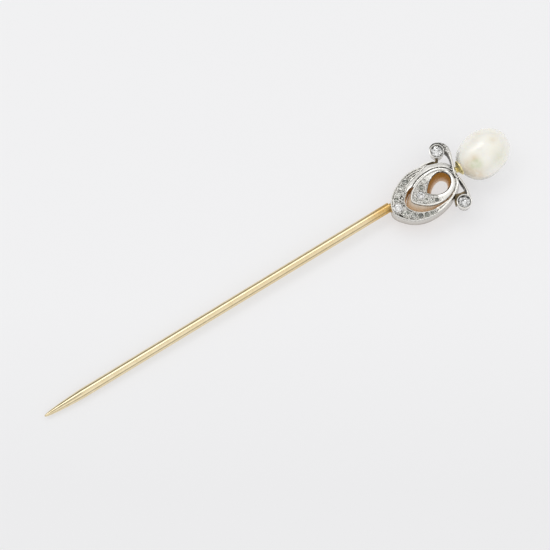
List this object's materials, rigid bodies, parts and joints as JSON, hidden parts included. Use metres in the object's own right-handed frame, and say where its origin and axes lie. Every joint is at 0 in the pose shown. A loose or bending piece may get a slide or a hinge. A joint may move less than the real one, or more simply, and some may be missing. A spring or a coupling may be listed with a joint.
{
  "type": "hat pin",
  "caption": "Straight gold hat pin with a pierced double-loop scroll head set with diamonds, two collet-set stones and a baroque pearl at the end.",
  "frame": {"origin": "on the stem's axis where the straight stem meets the lower edge of the head, which is the pos_m of the stem mount", "axes": "+X along the stem from the point towards the pearl, +Z out of the face of the head, +Y to the left of the head seen with the pearl up"},
  "size_m": [0.07, 0.0097, 0.0059],
  "materials": {
    "yellow_gold": "polished yellow gold",
    "white_metal": "polished platinum or white gold, mill-grained edges",
    "diamond": "old-cut brilliant facets",
    "nacre": "satin-gloss cream nacre with a faint pink and green overtone"
  },
  "bodies": {
    "root": {"crescent_centre_diamond": "diamond", "crescent_gallery": "yellow_gold", "crescent_left_diamond_1": "diamond", "crescent_left_diamond_2": "diamond", "crescent_left_diamond_3": "diamond", "crescent_left_diamond_4": "diamond", "crescent_right_diamond_1": "diamond", "crescent_right_diamond_2": "diamond", "crescent_right_diamond_3": "diamond", "crescent_right_diamond_4": "diamond", "crescent_right_diamond_5": "diamond", "crescent_top": "white_metal", "left_band": "white_metal", "left_collet": "white_metal", "left_collet_diamond": "diamond", "left_link_bar": "yellow_gold", "left_scroll": "white_metal", "neck_bead": "yellow_gold", "pearl": "nacre", "pearl_cup": "yellow_gold", "pearl_peg": "yellow_gold", "pin_stem": "yellow_gold", "right_collet": "white_metal", "right_collet_diamond": "diamond", "right_link_bar": "yellow_gold", "right_scroll": "white_metal", "ring_centre_diamond": "diamond", "ring_gallery": "yellow_gold", "ring_left_diamond_1": "diamond", "ring_left_diamond_2": "diamond", "ring_point_diamond": "diamond", "ring_right_diamond_1": "diamond", "ring_right_diamond_2": "diamond", "ring_right_diamond_3": "diamond", "ring_top": "white_metal"}
  },
  "joints": []
}
